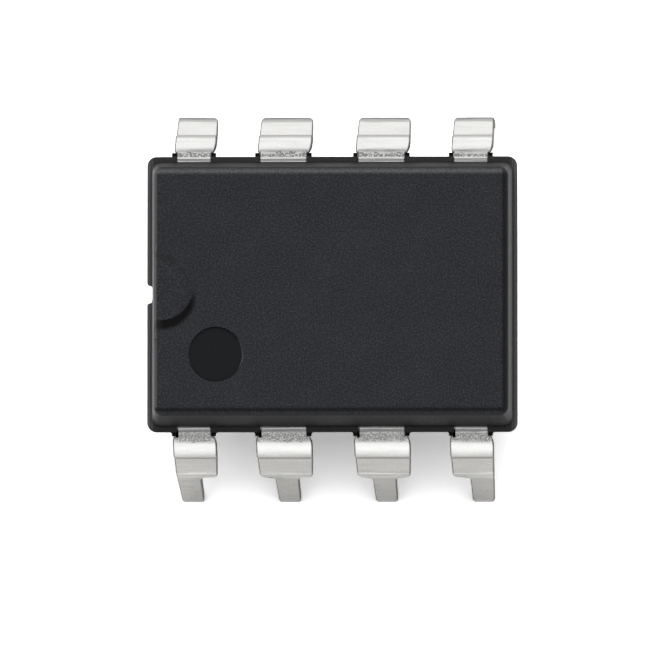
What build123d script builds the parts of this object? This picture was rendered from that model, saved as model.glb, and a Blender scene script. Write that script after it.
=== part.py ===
from build123d import *
import os
from math import radians, tan

# Eight-lead plastic dual in-line chip, in millimetres.
# The lead tips stand on the XY plane, +Z points to the marked face and +X runs from the marked end to
# the plain end. Seen from above, lead 1 is at -X -Y and the numbers run anticlockwise.

# Lead pattern: four leads a row, the front row at -Y and the rear row at +Y
lead_pitch = 2.54
leads_per_row = 4
frame_thickness = 0.25

# Moulded body, measured at the parting plane; body_end is what stands past the outer pitch lines.
# The drafts are degrees from upright.
body_end = 0.875
body_width = 6.92
body_height = 3.30
end_draft = 3.9
side_draft = 9.3
body_edge_radius = 0.24
standoff = 0.45

# Rim of flash around the parting plane, with a pair of ears at each lead
rim_width = 0.11
rim_corner_radius = 0.24
ear_width = 0.115
ear_reach = 0.10
ear_root_radius = 0.06
notch_depth = 0.155
notch_width = 0.48
notch_inner_radius = 0.13
notch_mouth_radius = 0.05

# Half-moon at the end of lead 1: it stands proud, with a sloping flank and a hollow skirt
moon_radius = 0.83
moon_height = 0.12
moon_flank_angle = 32.0
moon_skirt_radius = 0.26
moon_skirt_length = 0.23
moon_skirt_dip = 0.02
moon_crest_radius = 0.10

# Round dimple beside lead 1, and the ejector marks under the body
dimple_diameter = 1.42
dimple_depth = 0.08
dimple_wall_angle = 20.0
dimple_end_inset = 1.60
dimple_side_inset = 1.55
ejector_diameter = 1.40
ejector_depth = 0.05
ejector_end_inset = 1.60

# Formed leads: below the bend a leg runs upright, flares out, and turns down again at the kink.
# The splay angles are degrees from upright, above and below the kink.
middle_shoulder_width = 1.46
corner_shoulder_width = 1.135
corner_outer_offset = 0.345
shoulder_run = 0.375
bend_inner_radius = 0.16
flare_drop = 0.68
flare_radius = 0.45
leg_splay = 21.0
kink_radius = 0.45
front_kink_above_seat = 0.49
front_tip_splay = 9.1
rear_kink_above_seat = 0.06
rear_tip_splay = 4.0
taper_start_drop = 0.30
side_taper = 0.045
pin_length = 3.30
tip_root_width = 0.56
tip_width = 0.53
shoulder_corner_radius = 0.09
step_fillet_radius = 0.12
tip_corner_radius = 0.07

# Lead fingers inside the body, in the plane of the strip
neck_depth = 0.85
finger_gap = 0.30
middle_finger_centre = 0.93
middle_finger_width = 0.65
corner_finger_width = 0.60
elbow_run = 0.80
elbow_rise = 0.95
finger_corner_radius = 0.06
lock_hole_diameter = 0.40

# Die paddle, one piece with lead 4, pressed below the plane of the fingers; its tie bar runs to the notch
paddle_length = 3.40
paddle_width = 2.30
paddle_drop = 0.25
paddle_bend_inner_radius = 0.03
tie_bar_width = 0.40
tie_bar_gap = 0.35
arm_overlap = 0.20

# Die, its attach layer and the bond wires
die_length = 1.80
die_width = 1.50
die_thickness = 0.28
attach_margin = 0.05
attach_thickness = 0.03
pad_inset = 0.12
middle_pad_offset = 0.38
corner_pad_offset = 0.42
wire_diameter = 0.033
flats_per_wire = 8
ball_diameter = 0.09
ball_height = 0.03
wire_rise = 0.20
wire_shoulder = 0.05
wire_end_dip = 0.05
landing_inset = 0.22

# Heights and reaches that follow from the sizes above
seat_height = pin_length
body_bottom = seat_height + standoff
half_height = body_height / 2
parting_height = body_bottom + half_height
body_top = parting_height + half_height
body_length = (leads_per_row - 1) * lead_pitch + 2 * body_end
frame_bottom = parting_height - frame_thickness / 2
frame_top = parting_height + frame_thickness / 2
top_length = body_length - 2 * half_height * tan(radians(end_draft))
top_width = body_width - 2 * half_height * tan(radians(side_draft))
rim_length = body_length + 2 * rim_width
rim_breadth = body_width + 2 * rim_width
ear_end = rim_breadth / 2 + ear_reach
bend_reach = ear_end + shoulder_run
bend_radius = bend_inner_radius + frame_thickness / 2
notch_floor = rim_length / 2 - notch_depth
flare_height = parting_height - flare_drop
taper_start = parting_height - taper_start_drop
finger_tip_x = paddle_length / 2 + finger_gap
finger_tip_y = paddle_width / 2 + finger_gap
corner_finger_near = tie_bar_width / 2 + tie_bar_gap
corner_finger_far = corner_finger_near + corner_finger_width
paddle_bend_radius = paddle_bend_inner_radius + frame_thickness / 2
paddle_top = frame_top - paddle_drop
attach_top = paddle_top + attach_thickness
die_top = attach_top + die_thickness


def column_of(number):
    """Place of a lead along its row, 1 at the marked end and 4 at the plain end."""
    return number if number <= leads_per_row else 2 * leads_per_row + 1 - number


def row_of(number):
    """-1 for the front row, at -Y, and 1 for the rear row."""
    return -1 if number <= leads_per_row else 1


def side_of(column):
    """-1 for the half of the body with the marked end, and 1 for the other half."""
    return -1 if column <= leads_per_row / 2 else 1


def is_corner(column):
    """True for the first and the last lead of a row."""
    return column in (1, leads_per_row)


def pitch_line(column):
    """X of a lead's pitch line, on which its tip is centred."""
    return (column - (leads_per_row + 1) / 2) * lead_pitch


def shoulder_span(column):
    """Inner and outer X of a lead's wide part, counted away from the middle of the body."""
    side = side_of(column)
    if is_corner(column):
        outer = side * pitch_line(column) + corner_outer_offset
        return outer - corner_shoulder_width, outer
    middle = side * pitch_line(column)
    return middle - middle_shoulder_width / 2, middle + middle_shoulder_width / 2


def leg_side(column, away, stepped):
    """Points and corner radii down one side of a leg; away is 1 on its outer side and -1 inside."""
    side = side_of(column)
    inner, outer = shoulder_span(column)
    edge = side * (outer if away > 0 else inner)
    turn = side * away
    points = [(edge, body_top), (edge, taper_start)]
    radii = [0, 0]
    if stepped:
        points += [
            (edge - turn * side_taper, seat_height),
            (pitch_line(column) + turn * tip_root_width / 2, seat_height),
        ]
        radii += [shoulder_corner_radius, step_fillet_radius]
    points.append((pitch_line(column) + turn * tip_width / 2, 0))
    radii.append(tip_corner_radius)
    return points, radii


def finger_outline(column):
    """Points and corner radii of a finger in plan, with its neck out to the ends of the ears."""
    inner, outer = shoulder_span(column)
    inner += ear_width
    outer -= ear_width
    neck_end = body_width / 2 - neck_depth
    if is_corner(column):
        finger = [
            (outer, corner_finger_near + elbow_rise),
            (outer - elbow_run, corner_finger_near),
            (finger_tip_x, corner_finger_near),
            (finger_tip_x, corner_finger_far),
            (inner, neck_end),
        ]
    else:
        finger = [
            (outer, neck_end),
            (middle_finger_centre + middle_finger_width / 2, finger_tip_y),
            (middle_finger_centre - middle_finger_width / 2, finger_tip_y),
            (inner, neck_end),
        ]
    points = [(outer, ear_end)] + finger + [(inner, ear_end)]
    radii = [0] + [finger_corner_radius] * len(finger) + [0]
    side = side_of(column)
    return [(side * x, -y) for x, y in points], radii


def formed_lead(number, joined=None):
    """One lead, from its inner finger to its tip; joined is a piece of strip that it is one with."""
    column = column_of(number)
    front = row_of(number) < 0
    tip_splay = radians(front_tip_splay if front else rear_tip_splay)
    kink_height = seat_height + (front_kink_above_seat if front else rear_kink_above_seat)
    kink_reach = bend_reach + (flare_height - kink_height) * tan(radians(leg_splay))
    end_reach = kink_reach + (kink_height + frame_thickness) * tan(tip_splay)
    inner, outer = shoulder_span(column)
    middle = side_of(column) * (inner + outer) / 2
    outer_side, outer_radii = leg_side(column, 1, not is_corner(column))
    inner_side, inner_radii = leg_side(column, -1, True)
    finger_points, finger_radii = finger_outline(column)
    with BuildPart() as lead:
        with BuildSketch(Plane.YZ.offset(middle)):
            with BuildLine():
                FilletPolyline(
                    (-ear_end, parting_height),
                    (-bend_reach, parting_height),
                    (-bend_reach, flare_height),
                    (-kink_reach, kink_height),
                    (-end_reach, -frame_thickness),
                    radius=[bend_radius, flare_radius, kink_radius],
                )
            trace(line_width=frame_thickness)
        extrude(amount=outer - inner, both=True)
        with BuildSketch(Plane.XZ):
            with BuildLine():
                FilletPolyline(
                    *outer_side,
                    *reversed(inner_side),
                    radius=outer_radii + inner_radii[::-1],
                    close=True,
                )
            make_face()
        extrude(amount=end_reach + frame_thickness, mode=Mode.INTERSECT)
        with BuildSketch(Plane.XY.offset(frame_bottom)):
            with BuildLine():
                FilletPolyline(*finger_points, radius=finger_radii, close=True)
            make_face()
            with Locations((middle, neck_depth - body_width / 2)):
                Circle(lock_hole_diameter / 2, mode=Mode.SUBTRACT)
        extrude(amount=frame_thickness)
        if joined:
            add(joined.part)
        if not front:
            mirror(about=Plane.XZ, mode=Mode.REPLACE)
    return lead


def bond_wire(number):
    """One bond wire: a ball on the die, a loop, and an end pressed flat on the finger."""
    column = column_of(number)
    side = side_of(column)
    row = row_of(number)
    if is_corner(column):
        pad = Vector(side * (die_length / 2 - pad_inset), row * corner_pad_offset, die_top)
        landing_y = (corner_finger_near + corner_finger_far) / 2
        landing = Vector(side * (finger_tip_x + landing_inset), row * landing_y, frame_top)
    else:
        pad = Vector(side * middle_pad_offset, row * (die_width / 2 - pad_inset), die_top)
        landing = Vector(side * middle_finger_centre, row * (finger_tip_y + landing_inset), frame_top)
    run = Vector(landing.X - pad.X, landing.Y - pad.Y, 0)
    fall = landing.Z - die_top
    slope = (wire_rise - fall) / (run.length - wire_shoulder)
    loop_plane = Plane(origin=pad, x_dir=run, z_dir=run.cross(Vector(0, 0, 1)))
    with BuildPart() as wire:
        with BuildLine(loop_plane) as loop:
            Polyline(
                (0, ball_height / 2),
                (0, wire_rise - wire_shoulder),
                (wire_shoulder, wire_rise),
                (run.length + wire_end_dip / slope, fall - wire_end_dip),
            )
        with BuildSketch(Plane(origin=loop.line @ 0, z_dir=loop.line % 0)):
            RegularPolygon(wire_diameter / 2, flats_per_wire)
        sweep(path=loop.line, transition=Transition.RIGHT)
        with BuildSketch(Plane.XY.offset(frame_top - 2 * wire_end_dip)):
            with Locations((landing.X, landing.Y)):
                Circle(run.length / 2)
        extrude(amount=2 * wire_end_dip, mode=Mode.SUBTRACT)
        with BuildSketch(Plane(origin=pad)):
            RegularPolygon(ball_diameter / 2, flats_per_wire)
        extrude(amount=ball_height)
    return wire


# Die paddle with its tie bar and the arm that joins it to lead 4, all one strip
with BuildPart() as paddle:
    with BuildSketch(Plane.XZ):
        with BuildLine():
            FilletPolyline(
                (-notch_floor, parting_height),
                (-finger_tip_x, parting_height),
                (-paddle_length / 2, parting_height - paddle_drop),
                (paddle_length / 2, parting_height - paddle_drop),
                (finger_tip_x, parting_height),
                (finger_tip_x + arm_overlap, parting_height),
                radius=paddle_bend_radius,
            )
        trace(line_width=frame_thickness)
    extrude(amount=paddle_width, both=True)
    with BuildSketch(Plane.XY):
        Rectangle(paddle_length, paddle_width)
        with Locations((-notch_floor, 0)):
            Rectangle(notch_floor, tie_bar_width, align=(Align.MIN, Align.CENTER))
        with Locations((0, -corner_finger_near)):
            Rectangle(
                finger_tip_x + arm_overlap,
                corner_finger_width,
                align=(Align.MIN, Align.MAX),
            )
    extrude(amount=body_top, mode=Mode.INTERSECT)

paddle_lead = leads_per_row
leads = {}
for number in range(1, 2 * leads_per_row + 1):
    name = f"lead_{number}_and_paddle" if number == paddle_lead else f"lead_{number}"
    lead = formed_lead(number, paddle if number == paddle_lead else None)
    lead.part.label = name
    leads[name] = lead

with BuildPart() as die_attach:
    with BuildSketch(Plane.XY.offset(paddle_top)):
        Rectangle(die_length + 2 * attach_margin, die_width + 2 * attach_margin)
    extrude(amount=attach_thickness)
die_attach.part.label = "die_attach"

with BuildPart() as die:
    with BuildSketch(Plane.XY.offset(attach_top)):
        Rectangle(die_length, die_width)
    extrude(amount=die_thickness)
die.part.label = "silicon_die"

wires = {}
for number in range(1, 2 * leads_per_row + 1):
    name = f"bond_wire_{number}"
    wire = bond_wire(number)
    wire.part.label = name
    wires[name] = wire

# Half-moon mark, turned about the middle of the marked end and cut flush with the end's draft
top_end = top_length / 2
moon_foot = moon_radius + moon_height / tan(radians(moon_flank_angle))
moon_root = body_top - body_edge_radius
end_face = Plane(
    origin=(-body_length / 2, 0, parting_height),
    x_dir=(0, 1, 0),
    z_dir=(-1, 0, tan(radians(end_draft))),
)
with BuildPart() as half_moon:
    with BuildSketch(Plane.XZ):
        with BuildLine():
            FilletPolyline(
                (moon_radius - top_end, body_top + moon_height),
                (moon_foot - top_end, body_top),
                (moon_foot + moon_skirt_length - top_end, body_top - moon_skirt_dip),
                radius=[moon_skirt_radius],
            )
            Polyline(
                (moon_foot + moon_skirt_length - top_end, body_top - moon_skirt_dip),
                (moon_foot + moon_skirt_length - top_end, moon_root),
                (-top_end, moon_root),
                (-top_end, body_top + moon_height),
                (moon_radius - top_end, body_top + moon_height),
            )
        make_face()
    revolve(axis=Axis((-top_end, 0, 0), (0, 0, 1)))
    split(bisect_by=end_face, keep=Keep.BOTTOM)
    crest = half_moon.faces().sort_by(Axis.Z)[-1]
    fillet(crest.edges().sort_by(Axis.X)[0], moon_crest_radius)

# Body: two drafted halves moulded against the parting plane, the rim and its ears, then the marks
with BuildPart() as body:
    parting_plane = Plane.XY.offset(parting_height)
    with BuildSketch(parting_plane):
        Rectangle(body_length, body_width)
    extrude(amount=half_height)
    draft(body.faces().filter_by(Axis.X), parting_plane, end_draft)
    draft(body.faces().filter_by(Axis.Y), parting_plane, side_draft)
    fillet(body.edges().filter_by_position(Axis.Z, frame_top, body_top), body_edge_radius)
    mirror(about=parting_plane)
    with BuildSketch(parting_plane) as rim:
        RectangleRounded(rim_length, rim_breadth, rim_corner_radius)
        for column in range(1, leads_per_row + 1):
            inner, outer = shoulder_span(column)
            with Locations((side_of(column) * (inner + outer) / 2, 0)):
                Rectangle(outer - inner, 2 * ear_end)
        straight_end = rim_length / 2 - rim_corner_radius
        between_ends = rim.vertices().filter_by_position(
            Axis.X, -straight_end, straight_end, inclusive=(False, False)
        )
        ear_roots = between_ends.filter_by_position(Axis.Y, -rim_breadth / 2, rim_breadth / 2)
        fillet(ear_roots, ear_root_radius)
    extrude(amount=frame_thickness / 2, both=True)
    with BuildSketch(Plane.XY):
        with Locations((-rim_length / 2, 0)):
            notch = Rectangle(2 * notch_depth, notch_width)
        fillet(notch.vertices(), notch_inner_radius)
    extrude(amount=body_top, mode=Mode.SUBTRACT)
    upright_edges = body.edges().filter_by(Axis.Z)
    near_notch = upright_edges.filter_by_position(Axis.Y, -notch_width, notch_width)
    fillet(near_notch.group_by(Axis.X)[0], notch_mouth_radius)
    add(half_moon.part)
    with BuildSketch(Plane.XY.offset(body_top - dimple_depth)):
        with Locations((dimple_end_inset - top_end, dimple_side_inset - top_width / 2)):
            Circle(dimple_diameter / 2 - dimple_depth * tan(radians(dimple_wall_angle)))
    extrude(amount=2 * dimple_depth, taper=-dimple_wall_angle, mode=Mode.SUBTRACT)
    with BuildSketch(Plane.XY.offset(body_bottom)):
        with GridLocations(top_length - 2 * ejector_end_inset, 0, 2, 1):
            Circle(ejector_diameter / 2)
    extrude(amount=ejector_depth, mode=Mode.SUBTRACT)
    for piece in [*leads.values(), die_attach, die, *wires.values()]:
        add(piece.part, mode=Mode.SUBTRACT)
body.part.label = "moulded_body"

os.makedirs("parts", exist_ok=True)
export_step(body.part, "parts/moulded_body.step")
export_step(die_attach.part, "parts/die_attach.step")
export_step(die.part, "parts/silicon_die.step")
for name, piece in {**leads, **wires}.items():
    export_step(piece.part, f"parts/{name}.step")
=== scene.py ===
"""Eight-lead moulded chip: finishes of its pieces, pale floor, studio light and camera."""

import logging
import math
from dataclasses import dataclass
from enum import Enum
from functools import cached_property, reduce

import bmesh
import bpy
from mathutils import Matrix, Vector

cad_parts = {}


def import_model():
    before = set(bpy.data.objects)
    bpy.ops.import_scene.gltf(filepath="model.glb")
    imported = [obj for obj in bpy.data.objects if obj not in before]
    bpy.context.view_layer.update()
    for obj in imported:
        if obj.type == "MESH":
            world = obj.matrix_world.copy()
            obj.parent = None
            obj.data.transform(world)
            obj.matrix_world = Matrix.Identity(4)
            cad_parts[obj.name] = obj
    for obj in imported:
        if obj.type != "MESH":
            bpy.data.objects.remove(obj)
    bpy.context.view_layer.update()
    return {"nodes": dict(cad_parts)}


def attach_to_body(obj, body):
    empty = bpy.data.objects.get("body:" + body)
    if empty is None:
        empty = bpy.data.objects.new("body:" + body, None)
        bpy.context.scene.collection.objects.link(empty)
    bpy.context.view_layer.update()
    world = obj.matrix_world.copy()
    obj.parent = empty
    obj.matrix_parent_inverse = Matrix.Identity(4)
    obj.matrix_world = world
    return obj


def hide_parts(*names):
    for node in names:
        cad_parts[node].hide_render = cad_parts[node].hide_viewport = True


LOG = logging.getLogger("chip")
MM = 0.001
STRIP_HEIGHT = 5.40
Rgb = tuple[float, float, float]
Point = tuple[float, float]
Triple = tuple[float, float, float]
Wire = bpy.types.NodeSocket


class Slot(Enum):
    """Names of the material slots that the finishes below stand for; nothing here reads them."""

    COMPOUND = "moulding_compound"
    TIN = "tinned_leads"
    ATTACH = "attach"
    SILICON = "silicon"
    GOLD = "gold_wire"


class Row(Enum):
    """The two rows of leads, by the side of the body that they leave."""

    FRONT = -1
    REAR = 1


class NodeSheet:
    """A node tree with short calls for the nodes it needs."""

    def __init__(self, tree: bpy.types.NodeTree) -> None:
        """Empty the node tree of a material or of the room."""
        self.tree = tree
        self.tree.nodes.clear()

    def add(self, kind: str, *values: object, **settings: object) -> bpy.types.Node:
        """Add a node.

        Args:
            kind: type name of the node, without ShaderNode.
            *values: wires or plain values for its first inputs.
            **settings: properties to set on it.

        Returns:
            The new node.
        """
        node = self.tree.nodes.new(f"ShaderNode{kind}")
        for key, value in settings.items():
            setattr(node, key, value)
        for target, value in zip(node.inputs, values):
            self.feed(target, value)
        return node

    def join(self, source: Wire, target: Wire) -> None:
        """Wire an output to an input."""
        self.tree.links.new(source, target)

    def feed(self, target: Wire, value: object) -> None:
        """Give an input a wire or a plain value.

        Args:
            target: the input.
            value: output of another node, or the value itself.
        """
        if isinstance(value, Wire):
            self.join(value, target)
        else:
            target.default_value = value

    def work(self, operation: str, *values: object) -> Wire:
        """Work out one value from wires or numbers, by the name of the arithmetic step."""
        return self.add("Math", *values, operation=operation).outputs[0]

    def times(self, *values: object) -> Wire:
        """Multiply wires or numbers, one after another."""
        return reduce(lambda first, second: self.work("MULTIPLY", first, second), values)

    def plus(self, *values: object) -> Wire:
        """Add wires or numbers, one after another."""
        return reduce(lambda first, second: self.work("ADD", first, second), values)

    def minus(self, first: object, second: object) -> Wire:
        """Take the second value from the first."""
        return self.work("SUBTRACT", first, second)

    def most(self, *values: object) -> Wire:
        """Keep the largest of wires or numbers."""
        return reduce(lambda first, second: self.work("MAXIMUM", first, second), values)

    def unsigned(self, value: object) -> Wire:
        """Drop the sign of a value."""
        return self.work("ABSOLUTE", value)

    def ramp(
        self, value: object, low: float, high: float, start: float = 0.0, end: float = 1.0
    ) -> Wire:
        """Turn a value into another, from start at low to end at high, with soft ends."""
        given = (value, low, high, start, end)
        return self.add("MapRange", *given, interpolation_type="SMOOTHSTEP").outputs[0]

    def line(self, value: object, middle: float, half_width: float) -> Wire:
        """Mark a soft line: 1 where a value is at its middle and 0 from its half width on."""
        return self.ramp(self.unsigned(self.minus(value, middle)), half_width, 0.0)

    def axes(self, vector: Wire) -> list[Wire]:
        """Split a vector into x, y and z."""
        return list(self.add("SeparateXYZ", vector).outputs)

    def blend(self, share: object, first: object, second: object) -> Wire:
        """Mix two colours.

        Args:
            share: how much of the second shows.
            first: colour or wire at 0.
            second: colour or wire at 1.

        Returns:
            The mixed colour.
        """
        node = self.add("Mix", data_type="RGBA")
        self.feed(node.inputs["Factor"], share)
        for index, colour in ((6, first), (7, second)):
            self.feed(node.inputs[index], colour if isinstance(colour, Wire) else (*colour, 1.0))
        return node.outputs[2]

    def coats(self, base: Wire, *layers: tuple[Wire, object]) -> Wire:
        """Lay colours over a base one after another, each given after its share."""
        return reduce(lambda below, layer: self.blend(layer[0], below, layer[1]), layers, base)

    def seen(self) -> Wire:
        """Tell what is seen from what only lights a matt surface.

        Returns:
            1 for what the camera, gloss or glass sees and 0 for the rest.
        """
        path = self.add("LightPath")
        kinds = ("Is Camera Ray", "Is Glossy Ray", "Is Transmission Ray")
        return self.most(*(path.outputs[kind] for kind in kinds))


class FinishSheet(NodeSheet):
    """The node tree of one finish, with its shader and the place on the chip."""

    def __init__(self, name: str, shader: str = "BsdfPrincipled") -> None:
        """Start the tree with its output and shader.

        Args:
            name: name of the finish.
            shader: type name of its shader.
        """
        self.material = bpy.data.materials.new(name)
        self.material.use_nodes = True
        super().__init__(self.material.node_tree)
        self.shader = self.add(shader)
        self.add("OutputMaterial", self.shader.outputs["BSDF"])
        self.place = self.add("TexCoord").outputs["Object"]

    @cached_property
    def spot(self) -> list[Wire]:
        """x, y and z on the chip, in millimetres."""
        return self.axes(self.stretch((1.0, 1.0, 1.0)))

    @cached_property
    def facing(self) -> list[Wire]:
        """x, y and z of the direction that the surface faces."""
        return self.axes(self.add("NewGeometry").outputs["Normal"])

    def distance(self, centre: Point) -> Wire:
        """Work out how far a place on the chip is from an upright axis at a centre."""
        across, along = (self.minus(value, middle) for value, middle in zip(self.spot, centre))
        return self.work("SQRT", self.plus(self.times(across, across), self.times(along, along)))

    def give(self, results: dict[str, Wire]) -> None:
        """Wire results to the inputs of the shader that they are named after."""
        for name, result in results.items():
            self.join(result, self.shader.inputs[name])

    def stretch(self, scale: Triple) -> Wire:
        """Place on the chip in millimetres, times a factor along each axis."""
        factors = tuple(factor / MM for factor in scale)
        return self.add("VectorMath", self.place, factors, operation="MULTIPLY").outputs[0]

    def grain(
        self, size: float, detail: float = 3.0, rough: float = 0.6, along: Triple = (1.0, 1.0, 1.0)
    ) -> Wire:
        """Fine random grain.

        Args:
            size: size of one grain in millimetres.
            detail: number of finer layers.
            rough: strength of the finer layers.
            along: how much finer the grain is along each axis.

        Returns:
            A value around one half.
        """
        node = self.add("TexNoise", self.stretch(along))
        node.inputs["Scale"].default_value = 1.0 / size
        node.inputs["Detail"].default_value = detail
        node.inputs["Roughness"].default_value = rough
        return node.outputs["Fac"]

    def waver(self, value: object, grain: Wire, swing: float) -> Wire:
        """Let a grain add up to a swing to a value, or take as much from it."""
        return self.plus(value, self.ramp(grain, 0.3, 0.7, -swing, swing))

    def relief(
        self, height: object, depth: float, strength: object = 1.0, below: Wire | None = None
    ) -> Wire:
        """Turn a height into a bumped normal.

        Args:
            height: height, from 0 to 1.
            depth: depth of the relief in millimetres.
            strength: how much of it shows.
            below: normal of the layer beneath.

        Returns:
            The bumped normal.
        """
        node = self.add("Bump")
        node.inputs["Distance"].default_value = depth * MM
        self.feed(node.inputs["Strength"], strength)
        self.feed(node.inputs["Height"], height)
        if below is not None:
            self.join(below, node.inputs["Normal"])
        return node.outputs[0]


@dataclass(frozen=True)
class MouldingCompound:
    """Black mineral-filled epoxy: matt spark-eroded faces, polished dimple, smoother drafts.

    Places and sizes are in millimetres. The painted shade colour is painted shade on steps and
    corners.
    """

    face_height: float
    dimple_centre: Point
    dimple_radius: float
    colour: Rgb = (0.0203, 0.0209, 0.0236)
    speck_colour: Rgb = (0.0565, 0.0580, 0.0650)
    polished_colour: Rgb = (0.0147, 0.0153, 0.0170)
    # Painted light on the end flanks, strongest at the marked end.
    end_light_colour: Rgb = (0.148, 0.148, 0.149)
    rim_colour: Rgb = (0.036, 0.036, 0.037)
    # Painted light on the rim at the two ends.
    rim_end_light_colour: Rgb = (0.102, 0.102, 0.103)
    # Painted highlight on the rear edge of the marked face.
    edge_highlight_colour: Rgb = (0.125, 0.126, 0.130)
    # Painted shade on the drafts of the long sides.
    side_shade_colour: Rgb = (0.0095, 0.0097, 0.0104)
    # Painted shade: laid on the crescent, the shaded edges, the rim's root and the ears.
    painted_shade_colour: Rgb = (0.0030, 0.0030, 0.0032)
    specular: float = 0.08
    face_roughness: float = 0.55
    draft_roughness: float = 0.46
    polish_roughness: float = 0.30
    flank_roughness: float = 0.12
    plain_end_roughness: float = 0.05
    grain_size: float = 0.043
    grain_depth: float = 0.010
    cloud_size: float = 0.9
    rim_top: float = 5.62
    rim_end: float = 4.70
    ear_start: float = 3.57
    moon_centre: Point = (-4.391, -0.09)
    moon_radius: float = 0.98
    moon_fade: float = 0.15
    step_centre: Point = (-4.417, 0.08)
    step_radius: float = 0.835
    step_fade: float = 0.025
    brink: float = 0.75
    shading: float = 0.76

    def crescent_shadow(self, sheet: FinishSheet) -> Wire:
        """Mark the painted shadow: a dark crescent on the lower side of the half-moon.

        Args:
            sheet: nodes of the finish.

        Returns:
            1 on the crescent and 0 away from it.
        """
        x, y, z = sheet.spot
        moon = sheet.distance(self.moon_centre)
        step = sheet.distance(self.step_centre)
        within = sheet.ramp(moon, self.moon_radius, self.moon_radius - self.moon_fade)
        beyond = sheet.ramp(step, self.step_radius, self.step_radius + self.step_fade)
        upper = sheet.ramp(z, 6.7, 6.9)
        low = sheet.ramp(y, 0.12, -0.35)
        inward = sheet.ramp(x, -4.60, -4.30)
        return sheet.times(within, beyond, upper, low, inward)

    def end_light_share(self, sheet: FinishSheet) -> Wire:
        """Mark the painted light on the flanks of the two ends, most of all the marked end.

        Args:
            sheet: nodes of the finish.

        Returns:
            How much of the painted end light shows.
        """
        x, _, z = sheet.spot
        across = sheet.facing[0]
        upright = sheet.ramp(sheet.unsigned(across), 0.72, 0.92)
        ends = sheet.times(upright, sheet.ramp(across, 0.9, -0.9, 0.10, 1.0))
        foot = sheet.times(sheet.ramp(z, 6.50, 6.00), sheet.ramp(across, 0.0, -0.9, 0.0, 0.82))
        brink = sheet.times(sheet.ramp(x, -4.47, -4.53), sheet.ramp(z, 6.9, 7.0), self.brink)
        return sheet.most(sheet.times(ends, sheet.minus(1.0, foot)), brink)

    def edges(self, sheet: FinishSheet, fine: Wire) -> tuple[Wire, Wire]:
        """Mark painted light and shade on the edges of the marked face and the half-moon.

        Args:
            sheet: nodes of the finish.
            fine: the fine grain.

        Returns:
            How much of the painted highlight and how much of the painted shade shows.
        """
        x, y, z = sheet.spot
        across, along, up = sheet.facing
        tilted = sheet.times(sheet.ramp(up, 0.22, 0.45), sheet.ramp(z, 6.6, 6.7))
        far_out = sheet.ramp(sheet.unsigned(y), 2.85, 3.0)
        # Painted highlight on the rear edge, broken up by the fine grain.
        grainy = sheet.ramp(fine, 0.35, 0.65, 0.5, 1.0)
        edge_highlight = sheet.times(tilted, far_out, sheet.line(along, 0.46, 0.42), grainy)
        # Painted shade on the front edge, the plain end's edge and the rear flank of the
        # half-moon.
        front = sheet.times(sheet.line(along, -0.36, 0.36), far_out)
        plain_end = sheet.times(sheet.ramp(across, 0.15, 0.5), sheet.ramp(x, 3.8, 4.0))
        not_far = sheet.ramp(far_out, 1.0, 0.0, 0.0, 0.36)
        moon_rear = sheet.times(sheet.ramp(along, 0.2, 0.5), not_far)
        shaded = sheet.times(tilted, sheet.most(front, plain_end, moon_rear), self.shading)
        return edge_highlight, shaded

    def rim(self, sheet: FinishSheet) -> Wire:
        """Colour of the rim of flash, with painted light at the ends and painted shade in its root
        and on the ears.

        Args:
            sheet: nodes of the finish.

        Returns:
            The colour.
        """
        reach, side = sheet.unsigned(sheet.spot[0]), sheet.unsigned(sheet.spot[1])
        ended = sheet.ramp(reach, self.rim_end - 0.08, self.rim_end)
        shade = sheet.blend(ended, self.rim_colour, self.rim_end_light_colour)
        # Painted shade in the root of the rim and on the ears beside the leads.
        root = sheet.times(sheet.line(reach, self.rim_end, 0.03), 0.6)
        ears = sheet.ramp(side, self.ear_start, self.ear_start + 0.03)
        return sheet.coats(shade, (root, self.painted_shade_colour), (ears, self.painted_shade_colour))

    def material(self) -> bpy.types.Material:
        """Build the finish.

        Returns:
            The material.
        """
        sheet = FinishSheet("moulding_compound_finish")
        height = sheet.spot[2]
        across, along, up = sheet.facing
        level = sheet.ramp(sheet.unsigned(up), 0.80, 0.97)
        reach = sheet.distance(self.dimple_centre)
        inside = sheet.ramp(reach, self.dimple_radius + 0.01, self.dimple_radius - 0.03)
        upper = sheet.ramp(height, self.face_height - 0.5, self.face_height - 0.2)
        polished = sheet.times(inside, upper)
        matt = sheet.times(level, sheet.minus(1.0, polished))
        fine = sheet.grain(self.grain_size)
        cloudy = sheet.ramp(sheet.grain(self.cloud_size, 2.0, 0.5), 0.3, 0.7, 0.03, 0.11)
        specks = sheet.times(sheet.ramp(fine, 0.42, 0.68), 0.8)
        flank = sheet.ramp(sheet.unsigned(along), 0.75, 0.95)
        edge_highlight, shaded = self.edges(sheet, fine)
        on_rim = sheet.times(sheet.ramp(height, self.rim_top, self.rim_top - 0.06), level)
        # Layers over the grain: painted side shade, end light, edge highlight and edge shade, the
        # rim, the crescent shadow.
        face = sheet.coats(
            sheet.blend(sheet.plus(specks, cloudy), self.colour, self.speck_colour),
            (polished, self.polished_colour),
            (flank, self.side_shade_colour),
            (self.end_light_share(sheet), self.end_light_colour),
            (edge_highlight, self.edge_highlight_colour),
            (shaded, self.painted_shade_colour),
            (on_rim, self.rim(sheet)),
            (self.crescent_shadow(sheet), self.painted_shade_colour),
        )
        plain_end = sheet.ramp(across, 0.75, 0.95, 0.0, self.plain_end_roughness)
        rough = sheet.plus(
            self.draft_roughness,
            sheet.times(matt, self.face_roughness - self.draft_roughness),
            sheet.times(polished, self.polish_roughness - self.draft_roughness),
            sheet.most(sheet.times(flank, self.flank_roughness), plain_end),
            sheet.ramp(fine, 0.3, 0.7, -0.05, 0.06),
        )
        pitted = sheet.relief(fine, self.grain_depth, sheet.plus(0.12, sheet.times(matt, 0.6)))
        sheet.give({"Base Color": face, "Roughness": rough, "Normal": pitted})
        sheet.shader.inputs["Specular IOR Level"].default_value = self.specular
        return sheet.material


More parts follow.
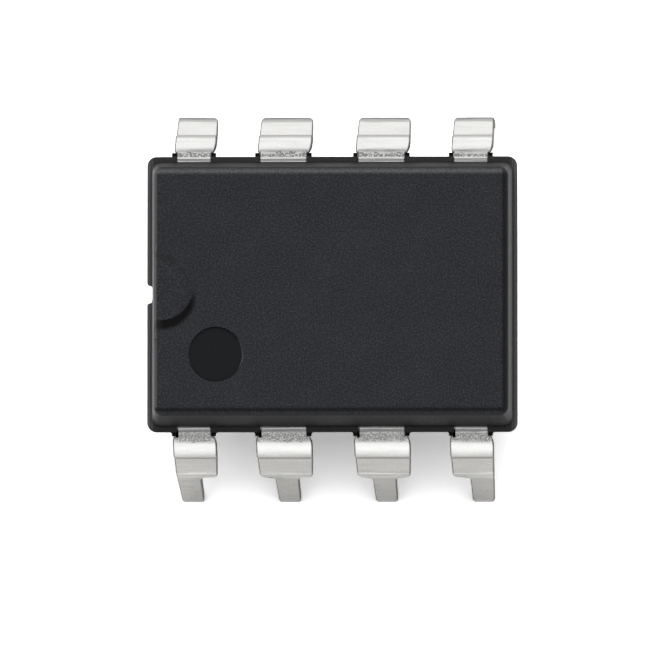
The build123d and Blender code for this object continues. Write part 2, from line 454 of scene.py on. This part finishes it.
@dataclass(frozen=True)
class TinPlate:
    """Dull tin plating over a copper strip, stained beside the body, with painted light and shade.

    Reaches and heights are in millimetres. Leg shade, crease and kink line go from 0 to 1.
    """

    name: str
    kink_height: float
    leg_shade: float
    kink_line: float
    crease: float
    stain_end: float
    neck_line: float
    colour: Rgb = (0.93, 0.93, 0.92)
    # Painted shade and grain darken the tin towards the dull and shade colour.
    dull_and_shade_colour: Rgb = (0.50, 0.495, 0.475)
    stain_colour: Rgb = (0.42, 0.412, 0.405)
    # Painted shade along the strip's sides and in the crease.
    edge_shade_colour: Rgb = (0.17, 0.166, 0.16)
    # Painted shade across the kink, used on the rear row.
    kink_shade_colour: Rgb = (0.17, 0.168, 0.163)
    grazing_tint: Rgb = (0.60, 0.595, 0.585)
    roughness: float = 0.30
    edge_metallic: float = 0.30
    stain_start: float = 3.57
    bend_end: float = 5.02
    neck_waver: float = 0.008
    stain_waver: float = 0.05
    grain_size: float = 0.045
    grain_depth: float = 0.010
    blotch_size: float = 0.12
    blotch_stretch: Triple = (0.6, 1.6, 1.6)
    cloud_size: float = 0.55
    streak_size: float = 0.30
    streak_stretch: Triple = (0.25, 2.0, 2.0)
    streak_depth: float = 0.020
    ridge_depth: float = 0.03

    def stain(self, sheet: FinishSheet, near: Wire, top: Wire, fine: Wire) -> Wire:
        """Mark the speckled stain on the shoulder, stronger away from the body.

        Args:
            sheet: nodes of the finish.
            near: the stained zone.
            top: the top side of the strip.
            fine: the fine grain.

        Returns:
            How much of the stain shows.
        """
        reach = sheet.unsigned(sheet.spot[1])
        first = 0.75 + 0.5 * self.kink_line
        grown = sheet.ramp(reach, self.stain_start, self.stain_start + 0.17, first, 1.25)
        return sheet.times(near, top, sheet.ramp(fine, 0.36, 0.60), grown)

    def dull_and_shade(
        self, sheet: FinishSheet, ridges: Wire, fine: Wire, blotches: Wire, streaks: Wire
    ) -> Wire:
        """Work out grain and painted shade: none in the bends, shade on the leg, painted light at
        the foot.

        Args:
            sheet: nodes of the finish.
            ridges: the two ridges at the neck.
            fine: the fine grain.
            blotches: the coarse grain.
            streaks: the streaky grain.

        Returns:
            0 where bright and 1 where dull or shaded.
        """
        height, up = sheet.spot[2], sheet.facing[2]
        kink, bend = self.kink_height, self.bend_end
        # Painted shade on the leg below the bend.
        leg = sheet.ramp(height, bend + 0.05, bend - 0.10)
        # Painted highlight at the kink, which takes painted shade off the leg there.
        kink_highlight = sheet.line(sheet.waver(height, streaks, 0.05), kink, 0.12)
        bright_kink = sheet.minus(1.0, sheet.times(kink_highlight, 0.85))
        leaning = sheet.ramp(up, 0.90, 0.42)
        # Painted shade where the strip leans away under the bend.
        under_bend = sheet.times(leaning, sheet.ramp(height, bend - 0.25, bend - 0.15), 0.80)
        over_kink = sheet.times(
            sheet.line(height, kink + 0.32, 0.24),
            sheet.ramp(streaks, 0.42, 0.58, 0.0, self.kink_line * 0.45),
        )
        foot = sheet.ramp(sheet.waver(height, blotches, 0.08), 0.32, 0.12)
        below_kink = sheet.plus(
            sheet.line(height, kink - 0.36, 0.36),
            sheet.ramp(height, kink, kink - 0.2, 0.0, 0.25),
        )
        dull_and_shade_level = sheet.plus(
            sheet.times(leg, self.leg_shade, bright_kink),
            sheet.ramp(streaks, 0.35, 0.75, -0.04, 0.14),
            sheet.ramp(fine, 0.45, 0.72, 0.0, 0.16),
            under_bend,
            over_kink,
            # Painted shade low in the bend and below the kink, on the rear row.
            sheet.times(sheet.line(height, bend + 0.13, 0.22), self.kink_line * 0.9),
            sheet.ramp(height, kink - 0.05, kink - 0.35, 0.0, self.kink_line * 0.75),
        )
        # Painted light on the neck ridges, at the foot and just below the kink.
        painted_light = sheet.plus(
            sheet.times(ridges, 0.6),
            sheet.times(foot, self.leg_shade * 0.55),
            sheet.times(below_kink, self.leg_shade * 0.45),
        )
        return sheet.minus(dull_and_shade_level, painted_light)

    def material(self) -> bpy.types.Material:
        """Build the finish.

        Returns:
            The material.
        """
        sheet = FinishSheet(self.name)
        height = sheet.spot[2]
        across, _, up = sheet.facing
        reach = sheet.unsigned(sheet.spot[1])
        fine = sheet.grain(self.grain_size)
        blotches = sheet.grain(self.blotch_size, detail=2.0, along=self.blotch_stretch)
        clouds = sheet.grain(self.cloud_size, detail=2.0, rough=0.5)
        streaks = sheet.grain(self.streak_size, along=self.streak_stretch)
        top = sheet.ramp(height, STRIP_HEIGHT, STRIP_HEIGHT + 0.1)
        started = sheet.ramp(reach, self.stain_start - 0.02, self.stain_start + 0.01)
        ragged = sheet.waver(reach, blotches, self.stain_waver)
        ended = sheet.ramp(ragged, self.stain_end, self.stain_end - 0.05)
        near = sheet.times(ended, started)
        stain = self.stain(sheet, near, top, fine)
        wavy = sheet.waver(reach, streaks, self.neck_waver)
        neck = sheet.times(sheet.line(wavy, self.neck_line, 0.025), top)
        ridges = sheet.plus(
            sheet.line(wavy, self.neck_line - 0.045, 0.03),
            sheet.line(wavy, self.neck_line + 0.055, 0.04),
        )
        # Painted shade in the crease below the bend.
        crease = sheet.times(
            sheet.ramp(up, 0.40, 0.14),
            sheet.line(height, self.bend_end - 0.05, 0.28),
            self.crease,
        )
        # Painted shade across the kink, on the rear row.
        kink = sheet.times(
            sheet.ramp(up, 0.50, 0.30),
            sheet.line(height, self.kink_height + 0.10, 0.36),
            self.kink_line,
        )
        # Painted shade along the strip's sides, wider on the right.
        right, left = sheet.ramp(across, 0.12, 0.55), sheet.ramp(across, -0.25, -0.65)
        edge_shade = sheet.most(right, left, crease)
        dull_and_shade_level = self.dull_and_shade(sheet, ridges, fine, blotches, streaks)
        shade = sheet.coats(
            sheet.blend(dull_and_shade_level, self.colour, self.dull_and_shade_colour),
            (sheet.most(stain, neck), self.stain_colour),
            (edge_shade, self.edge_shade_colour),
            (kink, self.kink_shade_colour),
        )
        dark = sheet.most(edge_shade, kink)
        rough = sheet.plus(
            self.roughness,
            sheet.times(stain, 0.2),
            sheet.ramp(clouds, 0.3, 0.7, -0.04, 0.05),
            sheet.times(dark, 0.30),
        )
        stained = sheet.times(sheet.ramp(reach, self.stain_end + 0.06, self.stain_end - 0.08), top)
        metallic = sheet.ramp(sheet.most(stained, dark), 0.0, 1.0, 1.0, self.edge_metallic)
        raised = sheet.relief(ridges, self.ridge_depth, top)
        deeper = sheet.plus(0.10, sheet.times(near, 0.6))
        pitted = sheet.relief(fine, self.grain_depth, deeper, raised)
        streaky = sheet.relief(streaks, self.streak_depth, 0.25, pitted)
        sheet.give({"Base Color": shade, "Roughness": rough, "Normal": streaky})
        sheet.give({"Metallic": metallic})
        sheet.shader.inputs["Specular Tint"].default_value = (*self.grazing_tint, 1.0)
        return sheet.material


@dataclass(frozen=True)
class HiddenFinish:
    """Finish of a sealed inner piece: a metal or filled resin with its own grain."""

    name: str
    colour: Rgb
    second: Rgb
    metallic: float
    roughness: float
    grain: float

    def material(self) -> bpy.types.Material:
        """Build the finish.

        Returns:
            The material.
        """
        sheet = FinishSheet(self.name)
        fine = sheet.grain(self.grain)
        shade = sheet.blend(sheet.ramp(fine, 0.35, 0.65), self.colour, self.second)
        rough = sheet.ramp(fine, 0.3, 0.7, self.roughness - 0.05, self.roughness + 0.05)
        pitted = sheet.relief(fine, self.grain * 0.1, 0.3)
        sheet.give({"Base Color": shade, "Roughness": rough, "Normal": pitted})
        sheet.shader.inputs["Metallic"].default_value = self.metallic
        return sheet.material


def dress(node: bpy.types.Object, finish: bpy.types.Material) -> None:
    """Put a finish on every material slot of a piece."""
    for slot in node.material_slots:
        slot.material = finish


def rounded(corners: list[Triple], step: float = 15.0, least_turn: float = 0.1) -> list[Point]:
    """Round the corners of an outline.

    Args:
        corners: x, y and corner radius of each corner.
        step: degrees of arc from one point to the next.
        least_turn: smallest turn, in radians, that is rounded.

    Returns:
        Points of the outline.
    """
    outline = []
    count = len(corners)
    for index, (x, y, radius) in enumerate(corners):
        here = Vector((x, y))
        back = (Vector(corners[index - 1][:2]) - here).normalized()
        ahead = (Vector(corners[(index + 1) % count][:2]) - here).normalized()
        turn = math.pi - back.angle(ahead, math.pi)
        if radius <= 0 or turn < least_turn:
            outline.append((x, y))
            continue
        cut = radius * math.tan(turn / 2)
        middle = here + (back + ahead).normalized() * radius / math.cos(turn / 2)
        start = here + back * cut - middle
        sense = 1 if start.x * ahead.y - start.y * ahead.x > 0 else -1
        parts = max(2, math.ceil(math.degrees(turn) / step))
        for part in range(parts + 1):
            angle = sense * turn * part / parts
            spoke = Vector((
                start.x * math.cos(angle) - start.y * math.sin(angle),
                start.x * math.sin(angle) + start.y * math.cos(angle),
            ))
            outline.append(tuple(middle + spoke))
    return outline


@dataclass(frozen=True)
class Stretch:
    """One straight or bent stretch of the strip's middle line, in side view."""

    start: float
    length: float
    origin: Point
    heading: float
    turn: float

    def at(self, way: float) -> tuple[Vector, float]:
        """Find a place on the stretch.

        Args:
            way: length along the strip.

        Returns:
            Reach and height there, and the heading: 0 is outward and a quarter turn is down.
        """
        gone = way - self.start
        if abs(self.turn) < 1e-6:
            ahead = Vector((math.cos(self.heading), -math.sin(self.heading)))
            return Vector(self.origin) + ahead * gone, self.heading
        radius = self.length / self.turn
        heading = self.heading + gone / radius
        spoke = Vector((math.sin(self.heading), math.cos(self.heading)))
        centre = Vector(self.origin) - spoke * radius
        return centre + Vector((math.sin(heading), math.cos(heading))) * radius, heading


@dataclass(frozen=True)
class FormingTool:
    """Side view that a row of leads is formed to, in millimetres and degrees from upright.

    Trim is taken off each side of the wide part, and sway moves the leg aside past the ears.
    """

    kink_height: float
    tip_splay: float
    sway: float
    bend_reach: float = 4.045
    flare_height: float = 4.72
    leg_splay: float = 21.0
    bend_radius: float = 0.345
    flare_radius: float = 0.45
    kink_radius: float = 0.45
    trim: float = 0.0
    side_taper: float = 0.045
    shoulder_radius: float = 0.12
    sway_start: float = 3.62
    sway_run: float = 0.30
    arc_step: float = 5.0
    straight_step: float = 0.25
    halvings: int = 40

    def stretches(self) -> list[Stretch]:
        """Work out the straight and bent stretches from the middle of the body to the tip.

        Returns:
            The stretches in order.
        """
        drop = self.flare_height - self.kink_height
        kink_reach = self.bend_reach + drop * math.tan(math.radians(self.leg_splay))
        tip_reach = kink_reach + self.kink_height * math.tan(math.radians(self.tip_splay))
        corners = [
            Vector((0.0, STRIP_HEIGHT)),
            Vector((self.bend_reach, STRIP_HEIGHT)),
            Vector((self.bend_reach, self.flare_height)),
            Vector((kink_reach, self.kink_height)),
            Vector((tip_reach, 0.0)),
        ]
        radii = [self.bend_radius, self.flare_radius, self.kink_radius]
        headings = [math.atan2(-(b.y - a.y), b.x - a.x) for a, b in zip(corners, corners[1:])]
        found = []
        way, here = 0.0, corners[0]
        for index, radius in enumerate(radii):
            turn = headings[index + 1] - headings[index]
            cut = radius * math.tan(abs(turn) / 2)
            run = (corners[index + 1] - here).length - cut
            found.append(Stretch(way, run, tuple(here), headings[index], 0.0))
            way += run
            here, _ = found[-1].at(way)
            found.append(Stretch(way, radius * abs(turn), tuple(here), headings[index], turn))
            way += radius * abs(turn)
            here, _ = found[-1].at(way)
        found.append(Stretch(way, (corners[-1] - here).length, tuple(here), headings[-1], 0.0))
        return found

    def length(self) -> float:
        """Length of the strip from the middle of the body to its tip."""
        last = self.stretches()[-1]
        return last.start + last.length

    def way_to(self, height: float) -> float:
        """Find how far along the strip its middle line comes down to a height.

        Args:
            height: height above the plane of the tips.

        Returns:
            Length along the strip.
        """
        line = self.stretches()
        low, high = self.bend_reach - self.bend_radius, self.length()
        for _ in range(self.halvings):
            middle = (low + high) / 2
            piece = [part for part in line if part.start <= middle][-1]
            if piece.at(middle)[0].y > height:
                low = middle
            else:
                high = middle
        return low

    def stations(self) -> list[float]:
        """Find where the strip needs an edge across it to bend.

        Returns:
            Lengths along the strip.
        """
        places = []
        for part in self.stretches():
            if part.turn:
                count = math.ceil(abs(math.degrees(part.turn)) / self.arc_step)
            else:
                count = max(1, round(part.length / self.straight_step))
            first = 0 if part.start > 0 else count
            places += [part.start + part.length * index / count for index in range(first, count)]
        return places

    def form(self, x: float, way: float, depth: float, row: Row) -> Vector:
        """Move a point of the flat strip to where forming takes it.

        Args:
            x: place across the strip.
            way: length along the strip.
            depth: height above the strip's middle plane.
            row: row that the lead is in.

        Returns:
            The formed place, in millimetres.
        """
        line = self.stretches()
        last = line[-1]
        if way > last.start:
            way += depth / math.tan(last.heading) * (way - last.start) / last.length
        piece = ([part for part in line if part.start <= way] or line[:1])[-1]
        spot, heading = piece.at(way)
        spot = spot + Vector((math.sin(heading), math.cos(heading))) * depth
        aside = self.sway * min(1.0, max(0.0, (way - self.sway_start) / self.sway_run))
        return Vector((x + aside, row.value * spot.x, max(spot.y, 0.0)))


@dataclass
class PackageBody:
    """The moulded body with its dimple, half-moon, notch and rim of flash."""

    face_height: float = 7.05
    dimple_centre: Point = (-2.97, -1.64)
    dimple_radius: float = 0.71

    def dress(self, nodes: dict[str, bpy.types.Object]) -> list[bpy.types.Object]:
        """Finish the body.

        Args:
            nodes: pieces of the frame by name.

        Returns:
            The finished pieces.
        """
        body = nodes["moulded_body"]
        compound = MouldingCompound(self.face_height, self.dimple_centre, self.dimple_radius)
        dress(body, compound.material())
        return [body]


@dataclass
class FormedLead:
    """One lead, stamped flat with its finger and then formed, in millimetres."""

    number: int
    row: Row
    tool: FormingTool
    node: str
    in_row: int = 4
    paddle_lead: int = 4
    pitch: float = 2.54
    thickness: float = 0.25
    edge_roll: float = 0.05
    roll_steps: int = 3
    corner_stretch: float = 3.0
    middle_width: float = 1.46
    corner_width: float = 1.135
    corner_outer_offset: float = 0.345
    ear_width: float = 0.115
    ear_end: float = 3.67
    taper_height: float = 5.10
    seat_height: float = 3.30
    tip_root_width: float = 0.62
    tip_width: float = 0.58
    neck_radius: float = 0.07
    seat_radius: float = 0.15
    tip_radius: float = 0.09
    neck_end: float = 2.61
    finger_tip: Point = (2.00, 1.45)
    middle_finger: Point = (0.93, 0.65)
    corner_finger: Point = (0.55, 1.15)
    elbow: Point = (0.80, 0.95)
    lock_hole: float = 0.20
    hole_points: int = 16
    paddle: Point = (1.70, 1.15)
    paddle_flat: float = 1.64
    tie_bar: float = 0.20
    notch_floor: float = 4.64
    paddle_drop: float = 0.25
    press_margin: float = 0.01
    plain_neck: float = 0.25
    flat_angle: float = 0.005
    weld: float = 0.0005
    graze: float = 0.0001
    slack: float = 0.001

    @property
    def column(self) -> int:
        """Place along the row, 1 at the marked end and 4 at the plain end."""
        return self.number if self.row is Row.FRONT else 2 * self.in_row + 1 - self.number

    @property
    def side(self) -> int:
        """-1 for the marked half of the body and 1 for the other."""
        return -1 if self.column <= self.in_row / 2 else 1

    @property
    def is_corner(self) -> bool:
        """True for the first and the last lead of a row."""
        return self.column in (1, self.in_row)

    @property
    def holds_paddle(self) -> bool:
        """True for the lead that is one piece with the die paddle."""
        return self.number == self.paddle_lead

    def span(self) -> tuple[float, float, float]:
        """Work out where the wide part is, counted away from the middle of the body.

        Returns:
            Inner edge, outer edge and pitch line of the lead.
        """
        line = self.side * (self.column - (self.in_row + 1) / 2) * self.pitch
        if self.is_corner:
            outer = line + self.corner_outer_offset
            return outer - self.corner_width + self.tool.trim, outer - self.tool.trim, line
        half = self.middle_width / 2 - self.tool.trim
        return line - half, line + half, line

    def leg_edge(self, edge: float, sense: int, stepped: bool) -> list[Triple]:
        """Corners down one edge of the leg, from the ears to the tip.

        Args:
            edge: distance of the wide part's edge from the middle of the body.
            sense: 1 on the outer side of the lead and -1 inside.
            stepped: whether the wide part ends in a step there.

        Returns:
            Distance, length along the strip and corner radius of each corner.
        """
        line = self.span()[2]
        taper = self.tool.way_to(self.taper_height)
        corners = [(edge, self.ear_end, self.neck_radius), (edge, taper, 0.0)]
        if stepped:
            seat = self.tool.way_to(self.seat_height)
            corners.append((edge - sense * self.tool.side_taper, seat, self.tool.shoulder_radius))
            corners.append((line + sense * self.tip_root_width / 2, seat, self.seat_radius))
        corners.append((line + sense * self.tip_width / 2, self.tool.length(), self.tip_radius))
        return corners

    def finger(self) -> list[Triple]:
        """Corners of the part inside the body, from the outer to the inner side of the neck.

        Returns:
            Distance from the middle, reach and corner radius of each corner.
        """
        inner, outer, _ = self.span()
        inner += self.ear_width - self.tool.trim
        outer -= self.ear_width - self.tool.trim
        if not self.is_corner:
            middle, width = self.middle_finger
            points = [
                (outer, self.neck_end),
                (middle + width / 2, self.finger_tip[1]),
                (middle - width / 2, self.finger_tip[1]),
                (inner, self.neck_end),
            ]
        else:
            near, far = self.corner_finger
            points = [(outer, near + self.elbow[1]), (outer - self.elbow[0], near)]
            if self.holds_paddle:
                wide, deep = self.paddle
                points += [
                    (wide, near), (wide, -deep), (-wide, -deep), (-wide, -self.tie_bar),
                    (-self.notch_floor, -self.tie_bar), (-self.notch_floor, self.tie_bar),
                    (-wide, self.tie_bar), (-wide, deep), (self.finger_tip[0], far),
                ]
            else:
                points += [(self.finger_tip[0], near), (self.finger_tip[0], far)]
            points.append((inner, self.neck_end))
        corners = [(x, y, 0.0 if self.holds_paddle else self.neck_radius) for x, y in points]
        return [(outer, self.ear_end, 0.0), *corners, (inner, self.ear_end, 0.0)]

    def squeeze(self, way: float, share: float) -> float:
        """Scale what lies past the ears, so that corners there come out longer than wide."""
        return way if way <= self.ear_end else self.ear_end + (way - self.ear_end) * share

    def stamp(self) -> bpy.types.Mesh:
        """Stamp the flat strip, with a rolled edge and the lock hole.

        Returns:
            The flat mesh: x across, y along the strip, in millimetres.
        """
        inner, outer, _ = self.span()
        corners = self.finger()
        corners += self.leg_edge(inner, -1, True)
        corners += reversed(self.leg_edge(outer, 1, not self.is_corner))
        share = 1 / self.corner_stretch
        squeezed = [(x, self.squeeze(y, share), radius) for x, y, radius in corners]
        outline = [
            (self.side * x, self.squeeze(y, self.corner_stretch)) for x, y in rounded(squeezed)
        ]
        middle, radius = self.side * (inner + outer) / 2, self.lock_hole
        turns = [step * math.tau / self.hole_points for step in range(self.hole_points)]
        hole = [
            (middle + radius * math.cos(turn), self.neck_end + radius * math.sin(turn))
            for turn in turns
        ]
        flat = bpy.data.curves.new("strip", "CURVE")
        flat.dimensions = "2D"
        flat.fill_mode = "BOTH"
        flat.extrude = self.thickness / 2 - self.edge_roll
        flat.bevel_depth = self.edge_roll
        flat.bevel_resolution = self.roll_steps
        flat.offset = -self.edge_roll
        for points in (outline, hole):
            spline = flat.splines.new("POLY")
            spline.points.add(len(points) - 1)
            for point, (x, y) in zip(spline.points, points):
                point.co = (x, y, 0.0, 1.0)
            spline.use_cyclic_u = True
        strip = bpy.data.objects.new("strip", flat)
        bpy.context.scene.collection.objects.link(strip)
        shaped = strip.evaluated_get(bpy.context.evaluated_depsgraph_get())
        mesh = bpy.data.meshes.new_from_object(shaped)
        bpy.data.objects.remove(strip)
        return mesh

    def build(self, finish: bpy.types.Material) -> bpy.types.Object:
        """Stamp and form the lead.

        Args:
            finish: material of the plating.

        Returns:
            The lead.
        """
        mesh = self.stamp()
        work = bmesh.new()
        work.from_mesh(mesh)
        bmesh.ops.remove_doubles(work, verts=work.verts, dist=self.weld)
        bmesh.ops.dissolve_degenerate(work, dist=self.weld, edges=work.edges)
        self.flatten(work)
        stations = [way for way in self.tool.stations() if way > self.ear_end]
        cuts = [((0.0, way, 0.0), (0.0, 1.0, 0.0)) for way in stations]
        if self.holds_paddle:
            tip, flat = self.finger_tip[0], self.paddle_flat
            cuts += [((x, 0.0, 0.0), (1.0, 0.0, 0.0)) for x in (-tip, -flat, flat, tip)]
        for place, across in cuts:
            self.cut(work, place, across)
        for vertex in work.verts:
            x, way, depth = vertex.co
            spot = self.tool.form(x, way, depth, self.row)
            spot.z -= self.press(x, way)
            vertex.co = spot * MM
        bmesh.ops.triangulate(work, faces=[face for face in work.faces if len(face.verts) > 4])
        bmesh.ops.recalc_face_normals(work, faces=work.faces)
        for face in work.faces:
            face.smooth = True
        mesh.clear_geometry()
        work.to_mesh(mesh)
        work.free()
        mesh.name = f"formed_{self.node}"
        mesh.materials.clear()
        mesh.materials.append(finish)
        lead = bpy.data.objects.new(f"formed_{self.node}", mesh)
        bpy.context.scene.collection.objects.link(lead)
        even = lead.modifiers.new("even_normals", "WEIGHTED_NORMAL")
        even.weight = 100
        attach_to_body(lead, "root")
        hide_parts(self.node)
        return lead

    def flatten(self, work: bmesh.types.BMesh) -> None:
        """Join the flat faces of the leg past a cut through the neck.

        Args:
            work: the stamped strip.
        """
        neck = self.ear_end - self.plain_neck
        self.cut(work, (0.0, neck, 0.0), (0.0, 1.0, 0.0))
        spots = [vertex for vertex in work.verts if vertex.co.y > neck - self.slack]
        edges = []
        for edge in work.edges:
            low, high = sorted(vertex.co.y for vertex in edge.verts)
            if low > neck - self.slack and high > neck + self.slack:
                edges.append(edge)
        bmesh.ops.dissolve_limit(work, angle_limit=self.flat_angle, verts=spots, edges=edges)

    def cut(self, work: bmesh.types.BMesh, place: Triple, across: Triple) -> None:
        """Give the strip an edge where a plane crosses it."""
        whole = [*work.verts, *work.edges, *work.faces]
        bmesh.ops.bisect_plane(work, geom=whole, dist=self.graze, plane_co=place, plane_no=across)

    def press(self, x: float, way: float) -> float:
        """Work out how far the paddle is pressed below the strip.

        Args:
            x: place across the strip.
            way: length along the strip.

        Returns:
            The depth there, which is 0 off the paddle.
        """
        if not self.holds_paddle or way > self.paddle[1] + self.press_margin:
            return 0.0
        tip, flat = self.finger_tip[0], self.paddle_flat
        return self.paddle_drop * min(1.0, max(0.0, (tip - abs(x)) / (tip - flat)))


@dataclass
class LeadRow:
    """One row of four formed leads."""

    row: Row
    leads: tuple[tuple[int, str], ...]
    tool: FormingTool
    finish: TinPlate

    def dress(self, nodes: dict[str, bpy.types.Object]) -> list[bpy.types.Object]:
        """Form the leads of the row.

        Args:
            nodes: pieces of the frame by name, which new leads don't need.

        Returns:
            The formed leads.
        """
        plating = self.finish.material()
        formed = [FormedLead(number, self.row, self.tool, name) for number, name in self.leads]
        return [lead.build(plating) for lead in formed]


@dataclass
class SealedInside:
    """The die, its attach layer and the bond wires, sealed in the body."""

    attach: HiddenFinish = HiddenFinish(
        "silver_epoxy_finish", (0.62, 0.62, 0.60), (0.45, 0.45, 0.44),
        metallic=0.6, roughness=0.5, grain=0.03,
    )
    die: HiddenFinish = HiddenFinish(
        "silicon_finish", (0.20, 0.21, 0.24), (0.14, 0.15, 0.19),
        metallic=0.7, roughness=0.15, grain=0.12,
    )
    wire: HiddenFinish = HiddenFinish(
        "gold_finish", (0.95, 0.74, 0.32), (0.90, 0.68, 0.28),
        metallic=1.0, roughness=0.2, grain=0.02,
    )

    def dress(self, nodes: dict[str, bpy.types.Object]) -> list[bpy.types.Object]:
        """Finish the sealed pieces.

        Args:
            nodes: pieces of the frame by name.

        Returns:
            The finished pieces.
        """
        done = []
        kinds = {"die_attach": self.attach, "silicon_die": self.die, "bond_wire": self.wire}
        for kind, finish in kinds.items():
            material = finish.material()
            for name, node in nodes.items():
                if name.startswith(kind):
                    dress(node, material)
                    done.append(node)
        return done


@dataclass
class Lamp:
    """A soft square studio lamp aimed at the chip, which no gloss mirrors."""

    name: str
    azimuth: float
    elevation: float
    distance: float
    size: float
    power: float

    def hang(self, target: Vector) -> None:
        """Hang the lamp.

        Args:
            target: point that it is aimed at, in metres.
        """
        turn, rise = math.radians(self.azimuth), math.radians(self.elevation)
        flat = math.cos(rise)
        away = Vector((flat * math.cos(turn), flat * math.sin(turn), math.sin(rise)))
        light = bpy.data.lights.new(self.name, "AREA")
        light.energy = self.power
        light.size = self.size
        lamp = bpy.data.objects.new(self.name, light)
        lamp.location = target + away * self.distance
        lamp.rotation_euler = away.to_track_quat("Z", "Y").to_euler()
        lamp.visible_glossy = False
        bpy.context.scene.collection.objects.link(lamp)


@dataclass
class Studio:
    """Pale floor, soft lamps and the pale room light around them.

    The seen values are what the camera and the gloss of the pieces see, where 1 is white.
    The ceiling's edge is how steeply up a direction points where it starts and where it is full.
    The lamps are aimed at a point in millimetres.
    """

    floor_reach: float = 1.5
    floor_colour: Rgb = (0.80, 0.80, 0.80)
    seen_colour: Rgb = (2.45, 2.45, 2.45)
    mirrored_colour: Rgb = (1.45, 1.45, 1.45)
    room_level: float = 0.40
    seen_side: float = 1.30
    seen_ceiling: float = 0.15
    ceiling_edge: Point = (0.90, 0.993)
    rear_share: float = -0.06
    aim: Triple = (0.0, 0.0, STRIP_HEIGHT)
    lamps: tuple[Lamp, ...] = (
        Lamp("top_lamp", azimuth=90.0, elevation=79.0, distance=0.60, size=0.26, power=1.65),
        Lamp("rear_lamp", azimuth=98.0, elevation=42.0, distance=0.60, size=0.35, power=0.75),
    )

    def lay_floor(self) -> None:
        """Lay the floor, which is seen in other shades than it lights with."""
        reach = self.floor_reach
        mesh = bpy.data.meshes.new("floor")
        corners = [(-reach, -reach, 0), (reach, -reach, 0), (reach, reach, 0), (-reach, reach, 0)]
        mesh.from_pydata(corners, [], [(0, 1, 2, 3)])
        floor = bpy.data.objects.new("floor", mesh)
        bpy.context.scene.collection.objects.link(floor)
        sheet = FinishSheet("floor_finish", "BsdfDiffuse")
        mirrored = sheet.blend(sheet.seen(), self.floor_colour, self.mirrored_colour)
        looked_at = sheet.add("LightPath").outputs["Is Camera Ray"]
        sheet.give({"Color": sheet.blend(looked_at, mirrored, self.seen_colour)})
        mesh.materials.append(sheet.material)

    def light_room(self) -> None:
        """Set the room light: white walls, slightly dimmer to the rear, under a dim ceiling."""
        world = bpy.data.worlds.new("room")
        world.use_nodes = True
        sheet = NodeSheet(world.node_tree)
        way = sheet.axes(sheet.add("TexCoord").outputs["Generated"])
        walls = sheet.ramp(way[2], *self.ceiling_edge, self.seen_side, self.seen_ceiling)
        walls = sheet.times(walls, sheet.plus(1.0, sheet.times(way[1], self.rear_share)))
        gap = sheet.minus(walls, self.room_level)
        level = sheet.plus(self.room_level, sheet.times(sheet.seen(), gap))
        room = sheet.add("Background")
        sheet.join(level, room.inputs["Strength"])
        sheet.add("OutputWorld", room.outputs[0])
        bpy.context.scene.world = world

    def build(self) -> None:
        """Lay the floor, set the room light and hang the lamps."""
        self.lay_floor()
        self.light_room()
        for lamp in self.lamps:
            lamp.hang(Vector(self.aim) * MM)


@dataclass
class PhotoCamera:
    """A long lens almost straight above the chip, leaning to the front and to the plain end.

    The scale is in pixels for each millimetre, the centre is where the anchor shows in the
    picture, and the leans are in degrees.
    """

    frame_width: float = 645.0
    scale: float = 38.6
    distance: float = 400.0
    lean_front: float = 3.4
    lean_side: float = 1.5
    centre: Point = (332.4, 294.45)
    anchor: Triple = (0.0, 0.0, STRIP_HEIGHT)
    sensor: float = 36.0
    clip: Point = (0.01, 10.0)

    def set_up(self) -> None:
        """Place the camera."""
        front, side = math.radians(self.lean_front), math.radians(self.lean_side)
        right = Vector((math.cos(side), 0.0, -math.sin(side)))
        back = Vector((math.sin(side), -math.sin(front), math.cos(side) * math.cos(front)))
        back.normalize()
        up = back.cross(right).normalized()
        right = up.cross(back)
        middle = self.frame_width / 2
        target = Vector(self.anchor) + right * (middle - self.centre[0]) / self.scale
        target = target - up * (middle - self.centre[1]) / self.scale
        data = bpy.data.cameras.new("photo_camera")
        data.sensor_width = self.sensor
        data.lens = self.scale * self.distance * self.sensor / self.frame_width
        data.clip_start, data.clip_end = self.clip
        camera = bpy.data.objects.new("photo_camera", data)
        turn = Matrix((right, up, back)).transposed().to_4x4()
        camera.matrix_world = Matrix.Translation((target + back * self.distance) * MM) @ turn
        bpy.context.scene.collection.objects.link(camera)
        bpy.context.scene.camera = camera


def main() -> None:
    """Load the frame, build each sub-assembly in order and set the stage."""
    logging.basicConfig(level=logging.INFO, format="%(name)s: %(message)s")
    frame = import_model()
    nodes = frame["nodes"]
    bpy.context.scene.view_settings.view_transform = "Standard"
    PhotoCamera().set_up()
    assemblies = [
        PackageBody(),
        LeadRow(
            Row.FRONT,
            ((1, "lead_1"), (2, "lead_2"), (3, "lead_3"), (4, "lead_4_and_paddle")),
            FormingTool(kink_height=3.79, tip_splay=8.36, sway=0.03, bend_reach=4.095),
            # The front legs face away from the lamps and carry much painted shade.
            TinPlate(
                "front_lead_finish", kink_height=3.79, leg_shade=0.88, kink_line=0.0,
                crease=0.75, stain_end=3.825, neck_line=3.515,
            ),
        ),
        LeadRow(
            Row.REAR,
            ((5, "lead_5"), (6, "lead_6"), (7, "lead_7"), (8, "lead_8")),
            FormingTool(
                kink_height=3.36, tip_splay=3.07, sway=0.05, leg_splay=23.0,
                trim=0.03, side_taper=0.02, shoulder_radius=0.10,
            ),
            # The rear legs face the lamps and carry little painted shade.
            TinPlate(
                "rear_lead_finish", kink_height=3.36, leg_shade=0.15, kink_line=1.0,
                crease=1.0, stain_end=3.70, neck_line=3.465, stain_colour=(0.29, 0.285, 0.28),
            ),
        ),
        SealedInside(),
    ]
    for assembly in assemblies:
        for piece in assembly.dress(nodes):
            LOG.info("%s: %s", type(assembly).__name__, piece.name)
    Studio().build()


if __name__ == "__main__":
    main()
